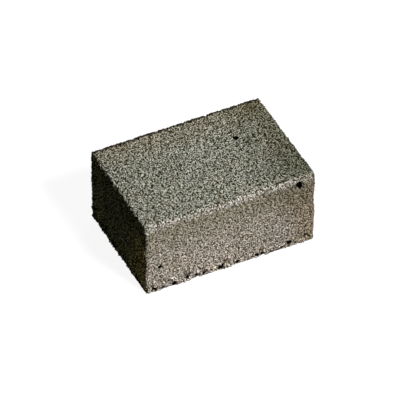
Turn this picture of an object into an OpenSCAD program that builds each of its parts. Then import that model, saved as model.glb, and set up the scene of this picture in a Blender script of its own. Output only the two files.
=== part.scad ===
// Sharpening whetstone: one block of coarse grit, pressed in a mould and fired in one piece.
// It stands on its base at Z = 0, centred on X = 0 and Y = 0. Its length runs along X,
// its front is the -Y face, and the working face, where a blade is rubbed, is on top.

/* [Block] */
// Length of the block, along X
block_length = 75; // [50:0.5:150]
// Width of the block, along Y
block_width = 51.5; // [35:0.5:100]
// Height of the block, along Z
block_height = 36; // [20:0.5:75]

/* [Worn arrises] */
// Radius that use has worn onto the two long arrises of the working face
long_arris_radius = 2; // [0.6:0.1:4]
// Radius of the two arrises at the ends of the working face
end_arris_radius = 1; // [0.4:0.1:4]
// Radius of the four upright arrises
upright_arris_radius = 0.9; // [0.4:0.1:4]

/* [Large pore in the front] */
// Diameter of the large pore, a little below its mouth
large_pore_diameter = 3.2; // [1:0.1:4]
// Distance of its centre from the right end
large_pore_from_right = 7.3; // [4:0.1:20]
// Distance of its centre below the working face
large_pore_from_top = 3.5; // [3:0.5:15]
// Diameter of the small pocket that opens into its lower right side
pore_pocket_diameter = 2.2; // [0.6:0.1:3]

/* [Small pores] */
// Diameter of the pore well inside the working face
top_pore_diameter = 2.6; // [0.6:0.1:3]
// Distance of that pore from the right end
top_pore_from_right = 19.2; // [5:0.1:40]
// Distance of that pore from the back
top_pore_from_back = 18.7; // [5:0.1:30]
// Diameter of the pore near the front arris of the working face
arris_pore_diameter = 1.1; // [0.6:0.1:3]
// Distance of that pore from the right end
arris_pore_from_right = 18; // [5:0.1:40]
// Distance of that pore from the front
arris_pore_from_front = 5.6; // [5:0.1:30]
// Diameter of the pore low in the front
front_pore_diameter = 2.3; // [0.6:0.1:3]
// Distance of that pore from the left end
front_pore_from_left = 6.1; // [4:0.1:40]
// Distance of that pore above the base
front_pore_from_base = 12.6; // [4:0.1:15]

/* [Scattered pores] */
// Mean distance between scattered pores in a face
pore_spacing = 16; // [13:1:20]
// Diameter of the smallest scattered pore
scatter_min_diameter = 0.6; // [0.4:0.1:0.8]
// Diameter of the largest scattered pore
scatter_max_diameter = 1; // [0.8:0.1:1.5]

/* [Torn-out grains] */
// Smallest gap between two of the grains torn out of a side just above the base
chip_min_gap = 0.3; // [0.2:0.1:1]
// Largest gap between two torn-out grains
chip_max_gap = 6; // [2:0.5:10]
// Radius of the smallest torn-out grain
chip_min_radius = 0.5; // [0.3:0.1:0.8]
// Radius of the largest torn-out grain
chip_max_radius = 1.1; // [0.8:0.1:1.5]

/* [Hidden] */

ROUND_SEGMENTS = 48;
PORE_SINK = 0.5;            // share of its radius that a pore's centre lies below the face
POCKET_SLANT = 0.4;         // how far the pocket lies to the right, as a share of how far it lies below
PORE_STRAY = 0.35;          // share of the spacing by which a scattered pore strays from its row
CHIP_LIFTS = [1.1, 2.4];    // least and greatest height of a torn-out grain above the base, in radii
SCATTER_SEED = 11;
CHIP_SEED = 30;

half_length = block_length / 2;
half_width = block_width / 2;
chip_margin = upright_arris_radius + chip_max_radius;   // plain stretch at each corner

// Outline of the block seen from above, with its four upright arrises rounded.
module plan_outline() {
    straight_length = block_length - 2 * upright_arris_radius;
    straight_width = block_width - 2 * upright_arris_radius;
    square([straight_length, block_width], center = true);
    square([block_length, straight_width], center = true);
    for (x_side = [-1, 1], y_side = [-1, 1])
        translate([x_side * straight_length / 2, y_side * straight_width / 2])
            circle(r = upright_arris_radius, $fn = ROUND_SEGMENTS);
}

// Outline of the block seen level from one side, square at the base and worn round the top.
module side_outline(width, arris_radius) {
    shoulder_height = block_height - arris_radius;
    flat_width = width - 2 * arris_radius;
    translate([-width / 2, 0])
        square([width, shoulder_height]);
    translate([-flat_width / 2, 0])
        square([flat_width, block_height]);
    for (side = [-1, 1])
        translate([side * flat_width / 2, shoulder_height])
            circle(r = arris_radius, $fn = ROUND_SEGMENTS);
}

// The pressed block before any pore or torn-out grain.
module pressed_block() {
    intersection() {
        linear_extrude(block_height)
            plan_outline();
        rotate([90, 0, 0])
            linear_extrude(block_width, center = true)
                side_outline(block_length, end_arris_radius);
        rotate([90, 0, 90])
            linear_extrude(block_length, center = true)
                side_outline(block_width, long_arris_radius);
    }
}

// A round pore whose mouth opens on the plane Z = 0 of its own frame, with the stone below.
module pore(diameter) {
    translate([0, 0, -PORE_SINK * diameter / 2])
        sphere(d = diameter, $fn = ROUND_SEGMENTS);
}

// Frames of the six faces. In each, +Z points out of the stone and the origin is the face's centre.
module on_top() { translate([0, 0, block_height]) children(); }
module on_base() { rotate([180, 0, 0]) children(); }
module on_front() { translate([0, -half_width, block_height / 2]) rotate([90, 0, 0]) children(); }
module on_back() { translate([0, half_width, block_height / 2]) rotate([90, 0, 180]) children(); }
module on_right() { translate([half_length, 0, block_height / 2]) rotate([90, 0, 90]) children(); }
module on_left() { translate([-half_length, 0, block_height / 2]) rotate([90, 0, -90]) children(); }

// The pores that stand out by their size or place.
module large_pore() {
    pocket_reach = pore_pocket_diameter / 2;
    pocket_shift = (large_pore_diameter - pore_pocket_diameter) / 2 + pocket_reach;
    on_front()
        translate([half_length - large_pore_from_right, block_height / 2 - large_pore_from_top, 0]) {
            pore(large_pore_diameter);
            translate([POCKET_SLANT * pocket_shift, -pocket_shift, 0])
                pore(pore_pocket_diameter);
        }
}

module top_pores() {
    on_top() {
        translate([half_length - top_pore_from_right, half_width - top_pore_from_back, 0])
            pore(top_pore_diameter);
        translate([half_length - arris_pore_from_right, arris_pore_from_front - half_width, 0])
            pore(arris_pore_diameter);
    }
}

module front_pore() {
    on_front()
        translate([front_pore_from_left - half_length, front_pore_from_base - block_height / 2, 0])
            pore(front_pore_diameter);
}

// Small pores strewn over one face of the given size, one in each cell of an uneven grid.
module scattered_pores(face_length, face_height, seed) {
    columns = floor(face_length / pore_spacing);
    rows = floor(face_height / pore_spacing);
    step_x = face_length / columns;
    step_y = face_height / rows;
    x_strays = rands(-PORE_STRAY, PORE_STRAY, columns * rows, seed);
    y_strays = rands(-PORE_STRAY, PORE_STRAY, columns * rows, seed + 1);
    diameters = rands(scatter_min_diameter, scatter_max_diameter, columns * rows, seed + 2);
    for (column = [0:columns - 1], row = [0:rows - 1]) {
        i = column * rows + row;
        translate([
            (column + 0.5 + x_strays[i]) * step_x - face_length / 2,
            (row + 0.5 + y_strays[i]) * step_y - face_height / 2,
            0
        ])
            pore(diameters[i]);
    }
}

module all_scattered_pores() {
    on_top() scattered_pores(block_length, block_width, SCATTER_SEED);
    on_base() scattered_pores(block_length, block_width, SCATTER_SEED + 10);
    on_front() scattered_pores(block_length, block_height, SCATTER_SEED + 20);
    on_back() scattered_pores(block_length, block_height, SCATTER_SEED + 30);
    on_right() scattered_pores(block_width, block_height, SCATTER_SEED + 40);
    on_left() scattered_pores(block_width, block_height, SCATTER_SEED + 50);
}

// Holes of uneven size and spacing along an arris of the given length on the X axis, where the
// stone is at +Y and +Z. They lie just above the arris, in the side that faces -Y. Each starts a gap
// after the one before it, so no two of them meet.
module torn_grains(arris_length, seed) {
    run = arris_length - 2 * chip_margin;
    most = ceil(run / (chip_min_gap + 2 * chip_min_radius));
    radii = rands(chip_min_radius, chip_max_radius, most, seed);
    gaps = rands(chip_min_gap, chip_max_gap, most, seed + 1);
    lifts = rands(CHIP_LIFTS[0], CHIP_LIFTS[1], most, seed + 2);
    ends = [for (i = 0, end = 0; i < most; end = end + gaps[i] + 2 * radii[i], i = i + 1)
        end + gaps[i] + 2 * radii[i]];
    for (i = [0:most - 1])
        if (ends[i] < run)
            translate([ends[i] - radii[i] - run / 2, 0, lifts[i] * radii[i]])
                rotate([90, 0, 0])
                    pore(2 * radii[i]);
}

module crumbled_base() {
    for (turn = [0, 180])
        rotate([0, 0, turn]) {
            translate([0, -half_width, 0])
                torn_grains(block_length, CHIP_SEED + turn);
            rotate([0, 0, 90])
                translate([0, -half_length, 0])
                    torn_grains(block_width, CHIP_SEED + turn + 10);
        }
}

// The whole stone.
module whetstone_block() {
    color([0.47, 0.45, 0.40])
        difference() {
            pressed_block();
            large_pore();
            top_pores();
            front_pore();
            all_scattered_pores();
            crumbled_base();
        }
}

whetstone_block();
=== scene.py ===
"""Sharpening whetstone: a block of coarse fired grit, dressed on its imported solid."""
import math

import bpy
import numpy as np
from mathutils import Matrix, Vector


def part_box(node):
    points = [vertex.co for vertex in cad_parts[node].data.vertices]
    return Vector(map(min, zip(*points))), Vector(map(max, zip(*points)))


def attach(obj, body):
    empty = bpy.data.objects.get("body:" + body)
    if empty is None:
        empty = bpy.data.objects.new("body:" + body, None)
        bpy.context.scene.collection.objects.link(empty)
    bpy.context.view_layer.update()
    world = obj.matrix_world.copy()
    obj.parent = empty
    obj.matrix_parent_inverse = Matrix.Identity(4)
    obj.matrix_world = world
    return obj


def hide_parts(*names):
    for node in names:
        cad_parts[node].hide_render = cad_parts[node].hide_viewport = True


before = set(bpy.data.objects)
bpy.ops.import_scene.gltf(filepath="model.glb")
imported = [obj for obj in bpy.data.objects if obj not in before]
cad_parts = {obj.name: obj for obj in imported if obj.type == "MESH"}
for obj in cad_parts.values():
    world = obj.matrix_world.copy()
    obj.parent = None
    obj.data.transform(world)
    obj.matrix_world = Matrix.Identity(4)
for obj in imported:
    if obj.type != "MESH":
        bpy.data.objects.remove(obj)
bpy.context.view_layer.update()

MM = 0.001
NODE = "whetstone_block"
LOW, HIGH = (np.array(corner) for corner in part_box(NODE))
CENTRE = (LOW + HIGH) / 2
HALF = (HIGH - LOW) / 2

# Sizes are in millimetres unless they say otherwise.

# Mesh
VOXEL = 0.25
TRIANGLES = 195_000
UV_GAP = 2.0

# Grains: their size, the noise that raises some and sinks others, and their form
GRAIN_SIZE = 0.4
COARSE_NOISE = 0.66
FINE_NOISE = 0.42
GRAIN_LEVELS = (0.86, 1.12)     # sum of both noises on a sunk grain and on a standing one
GRAIN_ROUNDING = (0.0, 0.25)    # share of the size over which a grain rises from its edge
EDGE_HEIGHT = 0.3
SUNK_HEIGHT = 0.2
DULLEST_GRAIN = 0.75
GRAIN_RISE = 0.6

# Random bends of the noise's rows, which fade out towards the faces
NOISE_MEAN = 0.5
BEND_SIZE = 2.1
BEND = 1.4
BEND_MARGIN = 2.0

# Crumbs that the stone breaks into low on its sides and at its arrises
CRUMB_SIZE = 1.8
CRUMB_STRETCH = 1.4             # height over width
CRUMB_ROUNDING = (0.02, 0.25)
FLATTEST_CRUMB = 0.3
CRUMB_RISE = 1.0
CRUMB_SINK = 0.4
TORN_ROUNDING = (0.05, 0.15)
TORN_LEVELS = (0.78, 0.82)      # a crumb's random number from which it has been torn out
LOOSE_LEVELS = (0.45, 0.5)      # and from which it has gone where it lies beside a hole
TORN_DEPTH = 1.3
HOLLOW_LEVELS = (0.55, 0.75)
CRUMBLED_HEIGHTS = (3.5, 7.0)   # above the base, where the crumbling fades out
CRUMBLED_DEPTHS = (1.5, 2.5)    # inside the sides
CALM_CRUMBLING = 0.7
CRUMBLING_WAVES = (0.42, 0.54)
END_CALM = 0.6                  # by how much the ends crumble less than the front and back

# Chips along the arrises of the working face
CHIP_ROUNDING = (0.0, 0.3)
CHIP_LEVELS = (0.6, 1.0)
CHIP_DEPTH = 0.9
CHIPPED_DISTANCES = (0.6, 2.4)

# Waviness of the faces, full at the base
WAVE_SIZE = 9.0
WAVE_RISE = 1.6
SIDE_WAVE = 0.5
TOP_WAVE = 0.4

# Pores of the solid
PIT_DEPTHS = (0.0, 0.2)
RIM_STEPS = 4
RIM_FADE = 0.9

# Worn arrises of the solid
LONG_ARRIS_RADIUS = 2.0
END_ARRIS_RADIUS = 1.0
UPRIGHT_ARRIS_RADIUS = 0.9

# Pale bands on the worn arrises, partly rubbed wear and partly a painted highlight where the rounded arris
# faces the light, by the distance below the working face
LONG_BAND_START = (0.1, 0.5)
LONG_BAND_END = (1.8, 4.2)
END_BAND_START = (0.1, 0.4)
END_BAND_END = (0.9, 1.6)
BACK_BAND = 0.2
END_BAND = 0.6

# Painted shade: a dark line along the back arris, by the distance from the back and below the working face
BACK_SHADE_DISTANCES = (1.9, 2.5)
BACK_SHADE_DEPTHS = (0.3, 0.8)

# Mean colours of the stone in linear light
TOP_BACK_COLOR = (0.217, 0.199, 0.146, 1)
TOP_FRONT_COLOR = (0.228, 0.228, 0.183, 1)
SIDE_HIGH_COLOR = (0.231, 0.208, 0.155, 1)
# The low side colours are paler by painted light towards the base
SIDE_LOW_PAINTED_LIGHT_COLOR = (0.339, 0.296, 0.245, 1)
SIDE_LOW_RIGHT_PAINTED_LIGHT_COLOR = (0.288, 0.254, 0.210, 1)
WORN_AND_HIGHLIGHT_COLOR = (0.343, 0.322, 0.278, 1)
# Near black painted shade inside pores and torn-out holes
PIT_SHADE_COLOR = (0.002, 0.002, 0.001, 1)
# Near black of the painted shade along the back arris
BACK_ARRIS_SHADE_COLOR = (0.030, 0.026, 0.018, 1)

# Factors on those colours
# Dark warm gaps between grains: partly the grit's own colour, partly painted shade
GAP_TINT = np.array((0.050, 0.045, 0.020))
WARM_TINT = (1.035, 1.0, 0.965, 1)
COOL_TINT = (0.965, 1.0, 1.035, 1)
PLAIN = (1, 1, 1, 1)
SIDE_LOW_STAIN = (0.76, 0.69, 0.58, 1)
SIDE_HIGH_STAIN = (0.70, 0.68, 0.64, 1)
TOP_BACK_STAIN = (0.59, 0.58, 0.51, 1)
TOP_FRONT_STAIN = (0.46, 0.46, 0.40, 1)
LEFT_TINT = (0.90, 1.04, 0.74, 1)
# Painted warm light, brightening the left end low at its front
LEFT_PAINTED_GLOW = (1.90, 1.85, 1.00, 1)

# Where the colours turn into each other
COOL_TOP_Y = 8.0
SIDE_RISE_Z = (12.0, 33.0)
LOW_RIGHT_X = (-12.0, 24.0)
FAR_Y = (-18.0, 0.0)
LOW_STAIN_X = 22.0
HIGH_STAIN_X = 7.0
FAR_STAIN_SHIFT = 3.0
HIGH_STAIN_END_X = 28.0
PALE_BAND_FADE_X = 5.0
PALE_BAND_FADE = 0.5
# Where the painted warm light on the left end fades out, by Y and by Z
LEFT_GLOW_Y = (-8.0, -20.0)
LEFT_GLOW_Z = (32.0, 20.0)
UP_LEVELS = (0.35, 0.8)         # upward part of the normal on a side and on the top
LEFT_LEVELS = (0.85, 0.99)      # leftward part of the normal on the arrises of the left end and on its flat
HUE_SIZE = 7.0

# Tone of the grain at which a gap is darkest and a grain brightest, on the sides and on the top
DARK_TONE = (-0.02, 0.15)
BRIGHT_TONE = (0.98, 0.74)
LEFT_DARK_SHIFT = 0.38          # by which the left end's gaps and grains reach those tones sooner
LEFT_BRIGHT_SHIFT = -0.40
# Painted shade in the clefts between crumbs and painted light on their tops, and a painted highlight on the
# rims of pores
CRUMB_PAINTED_LIGHT = (-0.28, 0.85)
RIM_PAINTED_HIGHLIGHT = 0.3
BUMP_STRENGTH = 0.8
BUMP_RISE = 0.6
GAP_ROUGHNESS = 1.0
GRAIN_ROUGHNESS = 0.8

# Camera: degrees, metres and pixels of the picture
AZIMUTH = -26.02
ELEVATION = 42.56
DISTANCE = 1.913
FOCAL_PX = 4750.0
PICTURE_PX = 400
SENSOR_MM = 36.0
CENTRE_PX = (202.6, 194.6)
CLIP_END = 20.0

# Floor and world
FLOOR_SIZE = 6.0
FLOOR_COLOR = (0.20, 0.20, 0.20, 1)
FLOOR_BOUNCE_COLOR = (0.045, 0.045, 0.045, 1)
FLOOR_GLOW = 0.91
WHITE = (1, 1, 1, 1)
AMBIENT = 0.008


class Nodes:
    """Short calls for building a node tree."""

    def __init__(self, tree):
        self.tree = tree

    def add(self, kind, settings=None, **inputs):
        """A node with these settings, and with values or links on its named inputs."""
        made = self.tree.nodes.new(kind)
        for key, value in (settings or {}).items():
            setattr(made, key, value)
        for key, value in inputs.items():
            self.put(made.inputs[key.replace("_", " ")], value)
        return made

    def put(self, socket, value):
        """Links another socket to this one, or sets its value."""
        if isinstance(value, bpy.types.NodeSocket):
            self.tree.links.new(value, socket)
        else:
            socket.default_value = value

    def fill(self, made, values):
        """Puts values on a node's inputs in their order."""
        for socket, value in zip(made.inputs, values):
            self.put(socket, value)
        return made.outputs[0]

    def math(self, operation, *values):
        return self.fill(self.add("ShaderNodeMath", {"operation": operation}), values)

    def vector(self, operation, *values):
        return self.fill(self.add("ShaderNodeVectorMath", {"operation": operation}), values)

    def times(self, first, second):
        return self.math("MULTIPLY", first, second)

    def span(self, value, from_low, from_high, to_low=0, to_high=1, way="LINEAR"):
        """The value moved from one range to another, and kept inside it."""
        made = self.add("ShaderNodeMapRange", {"interpolation_type": way})
        return self.fill(made, (value, from_low, from_high, to_low, to_high))

    def soft_span(self, value, from_low, from_high, to_low=0, to_high=1):
        return self.span(value, from_low, from_high, to_low, to_high, "SMOOTHSTEP")

    def blend(self, share, low, high):
        """The number between low and high at a share from 0 to 1."""
        return self.span(share, 0, 1, low, high)

    def mix(self, share, first, second):
        """The colour between two colours at a share from 0 to 1."""
        made = self.add("ShaderNodeMix", {"data_type": "RGBA"})
        for index, value in ((0, share), (6, first), (7, second)):
            self.put(made.inputs[index], value)
        return made.outputs[2]

    def dim(self, color, factor):
        """The colour times a number."""
        made = self.add("ShaderNodeVectorMath", {"operation": "SCALE"})
        self.put(made.inputs[0], color)
        self.put(made.inputs["Scale"], factor)
        return made.outputs[0]

    def attribute(self, name, output="Fac"):
        return self.add("ShaderNodeAttribute", {"attribute_name": name}).outputs[output]

    def axes(self, vector):
        """The X, Y and Z of a vector or colour."""
        return self.add("ShaderNodeSeparateXYZ", Vector=vector).outputs

    def noise(self, place, output=0):
        """Smooth noise from 0 to 1 with a mean of a half, whose lattice points are whole numbers."""
        return self.add("ShaderNodeTexNoise", Vector=place, Scale=1.0, Detail=0.0).outputs[output]

    def cells(self, place, size):
        """Cells of a size strewn through space: the distance to a cell's edge in sizes, its three
        random numbers and its middle."""
        scale = 1 / (size * MM)
        to_edge = {"feature": "DISTANCE_TO_EDGE"}
        edge = self.add("ShaderNodeTexVoronoi", to_edge, Vector=place, Scale=scale).outputs["Distance"]
        cell = self.add("ShaderNodeTexVoronoi", Vector=place, Scale=scale).outputs
        return edge, self.axes(cell["Color"]), cell["Position"]


def lattice(n, place, spacing):
    """A place in metres as cells of about this spacing, with a whole number of them between opposite faces.

    Each face then cuts the cells of a noise alike, so that the noise looks even on it.
    """
    cells = np.round((HIGH - LOW) / MM / spacing)
    scale = cells / (HIGH - LOW)
    return n.vector("MULTIPLY_ADD", place, scale, -LOW * scale)


def along_faces(n, place, shift, margin):
    """The place moved by the shift, but not across a face that it lies on or within a margin of."""
    outward = n.vector("ABSOLUTE", n.vector("SUBTRACT", place, CENTRE))
    inside = n.vector("MULTIPLY_ADD", outward, (-1 / (margin * MM),) * 3, HALF / (margin * MM))
    inside = n.vector("MAXIMUM", n.vector("MINIMUM", inside, (1,) * 3), (0,) * 3)
    return n.vector("MULTIPLY_ADD", shift, inside, place)


def bend(n, place):
    """Shifts a place along the faces at random, so that the lattice's rows don't show."""
    drift = n.noise(lattice(n, place, BEND_SIZE), "Color")
    drift = n.vector("MULTIPLY", n.vector("SUBTRACT", drift, (NOISE_MEAN,) * 3), (BEND * MM,) * 3)
    return along_faces(n, place, drift, BEND_MARGIN)


def grain_pattern(n, place):
    """Height and tone of the single grains. A grain's own height is even noise at its middle."""
    edge, chance, middle = n.cells(place, GRAIN_SIZE)
    middle = along_faces(n, place, n.vector("SUBTRACT", middle, place), GRAIN_SIZE)
    coarse = n.noise(lattice(n, middle, COARSE_NOISE))
    fine = n.noise(lattice(n, middle, FINE_NOISE))
    standing = n.soft_span(n.math("ADD", coarse, fine), *GRAIN_LEVELS)
    dome = n.blend(n.soft_span(edge, *GRAIN_ROUNDING), EDGE_HEIGHT, 1)
    bright = n.times(standing, n.blend(chance[0], DULLEST_GRAIN, 1))
    return {
        "grain": n.times(dome, n.blend(standing, SUNK_HEIGHT, 1)),
        "tone": n.times(dome, bright),
    }


def crumb_pattern(n, place):
    """Lumps of loose grain, and which of them have been torn out, may go beside a hole or leave a chip."""
    upright = n.vector("MULTIPLY", place, (1, 1, 1 / CRUMB_STRETCH))
    edge, chance, _ = n.cells(upright, CRUMB_SIZE)
    lump = n.times(n.soft_span(edge, *CRUMB_ROUNDING), n.blend(chance[1], FLATTEST_CRUMB, 1))
    torn = n.times(n.soft_span(edge, *TORN_ROUNDING), n.soft_span(chance[0], *TORN_LEVELS))
    chip = n.times(n.soft_span(edge, *CHIP_ROUNDING), n.soft_span(chance[2], *CHIP_LEVELS))
    loose = n.soft_span(chance[2], *LOOSE_LEVELS)
    return {"lump": lump, "torn": torn, "chip": chip, "loose": loose}


def stone_pattern(n, place):
    """The stone's pattern at a place in metres, as sockets, for the mesh and for its material alike."""
    bent = bend(n, place)
    wave = n.noise(lattice(n, place, WAVE_SIZE))
    return {**grain_pattern(n, bent), **crumb_pattern(n, bent), "wave": wave}


def smooth_step(low, high, value):
    """0 below low, 1 above high and a smooth rise between them."""
    t = np.clip((value - low) / (high - low), 0, 1)
    return t * t * (3 - 2 * t)


def apply_modifiers(piece):
    """Makes the modifiers' result the piece's own mesh."""
    graph = bpy.context.evaluated_depsgraph_get()
    made = bpy.data.meshes.new_from_object(piece.evaluated_get(graph))
    old = piece.data
    piece.modifiers.clear()
    piece.data = made
    made.name = piece.name
    bpy.data.meshes.remove(old)


def remeshed(node, name):
    """A new object with an even mesh over the node's solid."""
    piece = bpy.data.objects.new(name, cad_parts[node].data.copy())
    bpy.context.scene.collection.objects.link(piece)
    remesh = piece.modifiers.new("even_mesh", "REMESH")
    remesh.mode = "VOXEL"
    remesh.voxel_size = VOXEL * MM
    apply_modifiers(piece)
    return piece


def read_pattern(piece):
    """Stores the pattern at each vertex, with the vertex's place before anything moves it."""
    tree = bpy.data.node_groups.new("pattern_at_vertices", "GeometryNodeTree")
    for way in ("INPUT", "OUTPUT"):
        tree.interface.new_socket("Geometry", in_out=way, socket_type="NodeSocketGeometry")
    n = Nodes(tree)
    place = n.add("GeometryNodeInputPosition").outputs[0]
    mesh = n.add("NodeGroupInput").outputs[0]
    stored = [("rest_place", "FLOAT_VECTOR", place)]
    stored += [(name, "FLOAT", value) for name, value in stone_pattern(n, place).items()]
    for name, kind, value in stored:
        store = n.add("GeometryNodeStoreNamedAttribute", {"data_type": kind, "domain": "POINT"})
        for key, item in (("Geometry", mesh), ("Name", name), ("Value", value)):
            n.put(store.inputs[key], item)
        mesh = store.outputs[0]
    n.add("NodeGroupOutput", Geometry=mesh)
    piece.modifiers.new("pattern", "NODES").node_group = tree
    apply_modifiers(piece)


def vertex_values(mesh, name):
    values = np.empty(len(mesh.vertices), np.float32)
    mesh.attributes[name].data.foreach_get("value", values)
    return values.astype(float)


def vertex_places(mesh, name):
    values = np.empty(len(mesh.vertices) * 3, np.float32)
    mesh.attributes[name].data.foreach_get("vector", values)
    return values.reshape(-1, 3).astype(float)


def vertex_normals(mesh):
    values = np.empty(len(mesh.vertices) * 3, np.float32)
    mesh.vertex_normals.foreach_get("vector", values)
    return values.reshape(-1, 3).astype(float)


def keep_values(mesh, name, values):
    layer = mesh.attributes.new(name, "FLOAT", "POINT")
    layer.data.foreach_set("value", values.astype(np.float32))


def inside_sides(points):
    """Distances of points from the nearer end and from the nearer long side."""
    return (HALF - np.abs(points - CENTRE))[:, :2] / MM


def below_top(points):
    return (HIGH[2] - points[:, 2]) / MM


def above_base(points):
    return (points[:, 2] - LOW[2]) / MM


def round_arris(first, second, radius):
    """Depth below the skin near an arris of this radius, from the depths below its two faces."""
    return radius - np.hypot(np.maximum(radius - first, 0), np.maximum(radius - second, 0))


def depth_below_skin(points):
    """How far inside the unbroken block a point lies. It is more than 0 in pores and torn-out grains."""
    end, side = inside_sides(points).T
    top = below_top(points)
    depths = [
        round_arris(side, top, LONG_ARRIS_RADIUS),
        round_arris(end, top, END_ARRIS_RADIUS),
        round_arris(end, side, UPRIGHT_ARRIS_RADIUS),
        above_base(points),
    ]
    return np.min(depths, axis=0)


def crumbled_band(points):
    """1 on the loose grain low on the sides, and 0 inside the base and well above it."""
    beside = np.min(inside_sides(points), axis=1)
    low = 1 - smooth_step(*CRUMBLED_HEIGHTS, above_base(points))
    return low * (1 - smooth_step(*CRUMBLED_DEPTHS, beside))


def top_arrises(points):
    """1 at the arrises of the working face and 0 away from them."""
    distances = np.maximum(inside_sides(points), below_top(points)[:, None])
    return 1 - smooth_step(*CHIPPED_DISTANCES, np.min(distances, axis=1))


def worn_and_highlight_band(points):
    """1 on the pale band along the front arris, partly rubbed by use and partly a painted highlight, and less
    along the other three.
    """
    below = below_top(points)
    end, side = inside_sides(points).T
    long_band = smooth_step(*LONG_BAND_START, below) * (1 - smooth_step(*LONG_BAND_END, below))
    end_band = smooth_step(*END_BAND_START, below) * (1 - smooth_step(*END_BAND_END, below))
    front = np.where(points[:, 1] < CENTRE[1], 1, BACK_BAND)
    long_band = long_band * front * (side < LONG_ARRIS_RADIUS)
    return np.maximum(long_band, END_BAND * end_band * (end < END_ARRIS_RADIUS))


def shaded_back_arris(points):
    """1 on the dark line of painted shade along the back arris of the working face, and 0 elsewhere."""
    side = inside_sides(points)[:, 1]
    near = 1 - smooth_step(*BACK_SHADE_DISTANCES, side)
    high = 1 - smooth_step(*BACK_SHADE_DEPTHS, below_top(points))
    return near * high * (points[:, 1] > CENTRE[1])


def wave_share(points, normal):
    """How much of the waviness a point takes: all low on the sides, and none on the base."""
    low = 1 - smooth_step(0, HALF[2], points[:, 2] - LOW[2])
    sideward = 1 - np.abs(normal[:, 2])
    upward = np.maximum(normal[:, 2], 0)
    return sideward * (SIDE_WAVE + (1 - SIDE_WAVE) * low) + TOP_WAVE * upward


def spread_over(mesh, values, steps, fade):
    """The values with a rim of some edges around the high ones, which fades by this factor at each edge."""
    ends = np.empty(len(mesh.edges) * 2, np.int32)
    mesh.edges.foreach_get("vertices", ends)
    first, second = ends.reshape(-1, 2).T
    spread = values.copy()
    for _ in range(steps):
        faded = spread * fade
        np.maximum.at(spread, first, faded[second])
        np.maximum.at(spread, second, faded[first])
    return spread


def roughen(piece):
    """Raises the grains, crumbles the sides above the base and chips the arrises of the working face.

    Returns the mean tone of the grain.
    """
    read_pattern(piece)
    mesh = piece.data
    rest = vertex_places(mesh, "rest_place")
    normal = vertex_normals(mesh)
    grain, tone, lump, torn, chip, loose, wave = (
        vertex_values(mesh, name)
        for name in ("grain", "tone", "lump", "torn", "chip", "loose", "wave")
    )
    pit = smooth_step(*PIT_DEPTHS, depth_below_skin(rest))
    rim = spread_over(mesh, pit, RIM_STEPS, RIM_FADE)
    broken = CALM_CRUMBLING + (1 - CALM_CRUMBLING) * smooth_step(*CRUMBLING_WAVES, wave)
    crumbled = crumbled_band(rest) * broken
    hole = smooth_step(*HOLLOW_LEVELS, crumbled * np.maximum(torn, rim * loose))
    hollow = np.maximum(pit, hole)

    calm = 1 - END_CALM * np.abs(normal[:, 0])
    height = GRAIN_RISE * (grain - grain.mean())
    height += calm * crumbled * (CRUMB_RISE * lump - CRUMB_SINK)
    height *= 1 - rim
    height -= TORN_DEPTH * calm * (hollow - pit)
    height -= CHIP_DEPTH * top_arrises(rest) * chip
    height += WAVE_RISE * wave_share(rest, normal) * (wave - NOISE_MEAN)

    moved = rest + normal * height[:, None] * MM
    moved[:, 2] = np.maximum(moved[:, 2], LOW[2])
    mesh.vertices.foreach_set("co", moved.astype(np.float32).ravel())
    keep_values(mesh, "hollow", hollow)
    keep_values(mesh, "rim", rim * (1 - hollow))
    keep_values(mesh, "facing_up", normal[:, 2])
    keep_values(mesh, "facing_left", -normal[:, 0])
    keep_values(mesh, "crumbled", crumbled)
    keep_values(mesh, "worn", worn_and_highlight_band(rest))
    keep_values(mesh, "back_arris_shade", shaded_back_arris(rest))
    mesh.update()
    return tone.mean()


def lighten(piece):
    """Brings the mesh down to the wanted number of triangles."""
    piece.data.calc_loop_triangles()
    thin = piece.modifiers.new("fewer_triangles", "DECIMATE")
    thin.ratio = TRIANGLES / len(piece.data.loop_triangles)
    apply_modifiers(piece)
    for polygon in piece.data.polygons:
        polygon.use_smooth = True


def nearest_sides(mesh, rest, size):
    """For each corner of the mesh's polygons its vertex, and which of the six sides its polygon lies on.

    Sides 0 to 2 are the low ones in X, Y and Z, and 3 to 5 the high ones.
    """
    corners = np.empty(len(mesh.loops), np.int32)
    mesh.loops.foreach_get("vertex_index", corners)
    counts = np.empty(len(mesh.polygons), np.int32)
    mesh.polygons.foreach_get("loop_total", counts)
    starts = np.cumsum(counts) - counts
    middles = np.add.reduceat(rest[corners], starts) / counts[:, None]
    depths = np.hstack([middles, size - middles])
    return corners, np.repeat(np.argmin(depths, axis=1), counts)


def unwrap(piece):
    """Lays the six sides of the stone beside each other in a UV map, at one scale and the right way round."""
    mesh = piece.data
    rest = (vertex_places(mesh, "rest_place") - LOW) / MM
    size = (HIGH - LOW) / MM
    corners, nearest = nearest_sides(mesh, rest, size)
    uv = np.empty((len(corners), 2))
    bottom = UV_GAP
    for facing, across, upward, mirrored in ((2, 0, 1, 0), (1, 0, 2, 1), (0, 1, 2, 0)):
        for high_side in (0, 1):
            chosen = nearest == facing + 3 * high_side
            points = rest[corners[chosen]]
            left = UV_GAP + high_side * (size[across] + UV_GAP)
            run = points[:, across]
            if high_side == mirrored:
                run = size[across] - run
            uv[chosen] = np.column_stack([left + run, bottom + points[:, upward]])
        bottom += size[upward] + UV_GAP
    uv /= 2 * size[0] + 3 * UV_GAP
    layer = mesh.uv_layers.new(name="OFBake")
    layer.data.foreach_set("uv", np.clip(uv, 0, 1).astype(np.float32).ravel())


def between(low_high):
    """A range in millimetres as one in metres."""
    return [limit * MM for limit in low_high]


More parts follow.
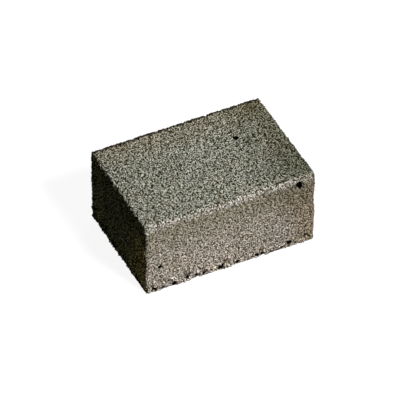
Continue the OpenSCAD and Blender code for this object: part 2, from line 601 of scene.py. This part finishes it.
def face_color(n, place, up, left):
    """Colour of the stone without its grain: cooler to the front of the top, paler down the sides by painted
    light, with pale arris bands of wear and painted highlight, and a line of painted shade on the back arris.
    """
    x, y, z = n.axes(place)
    top = n.mix(n.soft_span(y, HIGH[1], COOL_TOP_Y * MM), TOP_BACK_COLOR, TOP_FRONT_COLOR)
    rightward = n.soft_span(x, *between(LOW_RIGHT_X))
    low_side = n.mix(rightward, SIDE_LOW_PAINTED_LIGHT_COLOR, SIDE_LOW_RIGHT_PAINTED_LIGHT_COLOR)
    rise = n.soft_span(z, *between(SIDE_RISE_Z))
    side = n.mix(rise, low_side, SIDE_HIGH_COLOR)
    far = n.times(up, n.soft_span(y, *between(FAR_Y)))
    color = n.vector("MULTIPLY", n.mix(up, side, top), stain_color(n, x, rise, up, far))
    color = n.vector("MULTIPLY", color, left_end_color(n, y, z, left))
    fade = n.soft_span(x, PALE_BAND_FADE_X * MM, HIGH[0], 1, PALE_BAND_FADE)
    # Pale arris bands: rubbed wear and a painted highlight
    color = n.mix(n.times(n.attribute("worn"), fade), color, WORN_AND_HIGHLIGHT_COLOR)
    # Painted shade: the back arris darkened to a line
    return n.mix(n.attribute("back_arris_shade"), color, BACK_ARRIS_SHADE_COLOR)


def stain_color(n, x, rise, up, far):
    """Factor on the stone's colour for the dark stain towards its right end."""
    start = n.blend(rise, LOW_STAIN_X * MM, HIGH_STAIN_X * MM)
    start = n.math("MULTIPLY_ADD", far, FAR_STAIN_SHIFT * MM, start)
    end = n.blend(n.math("SUBTRACT", rise, up), HIGH[0], HIGH_STAIN_END_X * MM)
    side_stain = n.mix(rise, SIDE_LOW_STAIN, SIDE_HIGH_STAIN)
    top_stain = n.mix(far, TOP_FRONT_STAIN, TOP_BACK_STAIN)
    return n.mix(n.soft_span(x, start, end), PLAIN, n.mix(up, side_stain, top_stain))


def left_end_color(n, y, z, left):
    """Factor on the stone's colour for the left end: greenish, with painted warm light low at its front."""
    glowing = n.times(n.soft_span(y, *between(LEFT_GLOW_Y)), n.soft_span(z, *between(LEFT_GLOW_Z)))
    return n.mix(left, PLAIN, n.mix(glowing, LEFT_TINT, LEFT_PAINTED_GLOW))


def grain_color(n, tone, up, left, mean_tone):
    """Factor on the stone's colour for its grain, with a mean of about 1: pale grains, and dark warm gaps
    that are partly the grit's own colour and partly painted shade.
    """
    mean_tint = GAP_TINT + (1 - GAP_TINT) * mean_tone
    gap = (*(GAP_TINT / mean_tint), 1)
    grain = (*(1 / mean_tint), 1)
    dark = n.math("MULTIPLY_ADD", left, LEFT_DARK_SHIFT, n.blend(up, *DARK_TONE))
    bright = n.math("MULTIPLY_ADD", left, LEFT_BRIGHT_SHIFT, n.blend(up, *BRIGHT_TONE))
    return n.mix(n.span(tone, dark, bright), gap, grain)


def grit_material(mean_tone):
    """Dull fired grit, whose tone and bumps follow the grains of the mesh."""
    material = bpy.data.materials.new("bonded_grit")
    material.use_nodes = True
    material.node_tree.nodes.clear()
    n = Nodes(material.node_tree)
    place = n.attribute("rest_place", "Vector")
    pattern = stone_pattern(n, place)
    up = n.soft_span(n.attribute("facing_up"), *UP_LEVELS)
    left = n.soft_span(n.attribute("facing_left"), *LEFT_LEVELS)
    color = face_color(n, place, up, left)
    color = n.vector("MULTIPLY", color, grain_color(n, pattern["tone"], up, left, mean_tone))
    hue = n.noise(lattice(n, place, HUE_SIZE))
    color = n.vector("MULTIPLY", color, n.mix(hue, WARM_TINT, COOL_TINT))
    # Painted light and shade: crumb clefts darker, crumb tops and pore rims lighter
    painted_light = n.times(n.attribute("crumbled"), n.blend(pattern["lump"], *CRUMB_PAINTED_LIGHT))
    painted_light = n.math("MULTIPLY_ADD", n.attribute("rim"), RIM_PAINTED_HIGHLIGHT, painted_light)
    color = n.dim(color, n.math("ADD", 1, painted_light))
    # Painted shade: pores and torn-out holes near black
    color = n.mix(n.attribute("hollow"), color, PIT_SHADE_COLOR)
    rough = n.blend(pattern["tone"], GAP_ROUGHNESS, GRAIN_ROUGHNESS)
    bump = n.add("ShaderNodeBump", Strength=BUMP_STRENGTH, Distance=BUMP_RISE * MM, Height=pattern["grain"])
    surface = n.add("ShaderNodeBsdfPrincipled", Base_Color=color, Roughness=rough, Normal=bump.outputs[0])
    surface.inputs["Specular IOR Level"].default_value = 0.0
    n.add("ShaderNodeOutputMaterial", Surface=surface.outputs[0])
    return material


def direction(azimuth, elevation):
    """The way from the block to something seen at this azimuth and elevation, in degrees."""
    a, e = math.radians(azimuth), math.radians(elevation)
    return Vector((math.sin(a) * math.cos(e), -math.cos(a) * math.cos(e), math.sin(e)))


def place_facing_block(name, data, azimuth, elevation, distance):
    """An object that looks at the block from this azimuth, elevation and distance."""
    made = bpy.data.objects.new(name, data)
    bpy.context.scene.collection.objects.link(made)
    back = direction(azimuth, elevation)
    made.location = Vector(CENTRE) + back * distance
    made.rotation_mode = "QUATERNION"
    made.rotation_quaternion = (-back).to_track_quat("-Z", "Y")
    return made


def make_camera():
    data = bpy.data.cameras.new("camera")
    data.sensor_width = SENSOR_MM
    data.lens = FOCAL_PX * SENSOR_MM / PICTURE_PX
    data.clip_end = CLIP_END
    camera = place_facing_block("camera", data, AZIMUTH, ELEVATION, DISTANCE)
    right = camera.rotation_quaternion @ Vector((1, 0, 0))
    up = camera.rotation_quaternion @ Vector((0, 1, 0))
    metres_per_px = DISTANCE / FOCAL_PX
    across = (CENTRE_PX[0] - PICTURE_PX / 2) * metres_per_px
    above = (PICTURE_PX / 2 - CENTRE_PX[1]) * metres_per_px
    camera.location -= right * across + up * above
    bpy.context.scene.camera = camera


def softbox(name, azimuth, elevation, distance, size, watts, color=(1, 1, 1)):
    data = bpy.data.lights.new(name, "AREA")
    data.size = size
    data.energy = watts
    data.color = color
    place_facing_block(name, data, azimuth, elevation, distance)


def background_rays(n):
    """1 for the rays that show the background: from the camera, off gloss and through glass."""
    path = n.add("ShaderNodeLightPath").outputs
    seen = n.math("MAXIMUM", path["Is Camera Ray"], path["Is Glossy Ray"])
    return n.math("MAXIMUM", seen, path["Is Transmission Ray"])


def floor_material():
    """Nearly white where it is seen, with the block's shadow, and dull where it lights the block."""
    material = bpy.data.materials.new("pale_floor")
    material.use_nodes = True
    material.node_tree.nodes.clear()
    n = Nodes(material.node_tree)
    lit = n.add("ShaderNodeBsdfDiffuse", Color=FLOOR_COLOR)
    glow = n.add("ShaderNodeEmission", Color=WHITE, Strength=FLOOR_GLOW)
    pale = n.fill(n.add("ShaderNodeAddShader"), (lit.outputs[0], glow.outputs[0]))
    dull = n.add("ShaderNodeBsdfDiffuse", Color=FLOOR_BOUNCE_COLOR)
    both = n.fill(n.add("ShaderNodeMixShader"), (background_rays(n), dull.outputs[0], pale))
    n.add("ShaderNodeOutputMaterial", Surface=both)
    return material


def make_floor():
    bpy.ops.mesh.primitive_plane_add(size=FLOOR_SIZE, location=(0, 0, LOW[2]))
    floor = bpy.context.object
    floor.name = "floor"
    floor.data.materials.append(floor_material())


def make_world():
    """White where it is seen, with little light of its own on the block."""
    world = bpy.data.worlds.new("studio")
    bpy.context.scene.world = world
    world.use_nodes = True
    world.node_tree.nodes.clear()
    n = Nodes(world.node_tree)
    strength = n.blend(background_rays(n), AMBIENT, 1)
    sky = n.add("ShaderNodeBackground", Color=WHITE, Strength=strength)
    n.add("ShaderNodeOutputWorld", Surface=sky.outputs[0])


def make_stone():
    stone = remeshed(NODE, "whetstone")
    mean_tone = roughen(stone)
    lighten(stone)
    unwrap(stone)
    stone.data.materials.clear()
    stone.data.materials.append(grit_material(mean_tone))
    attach(stone, "root")
    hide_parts(NODE)


make_stone()
make_camera()
make_floor()
make_world()
softbox("key", azimuth=22, elevation=46, distance=1.4, size=0.35, watts=29.6)
softbox("back_fill", azimuth=140, elevation=18, distance=1.6, size=0.6, watts=8)
softbox("left_fill", azimuth=-165, elevation=8, distance=1.6, size=0.3, watts=3.7, color=(1, 1, 0.75))
bpy.context.scene.view_settings.view_transform = "Standard"
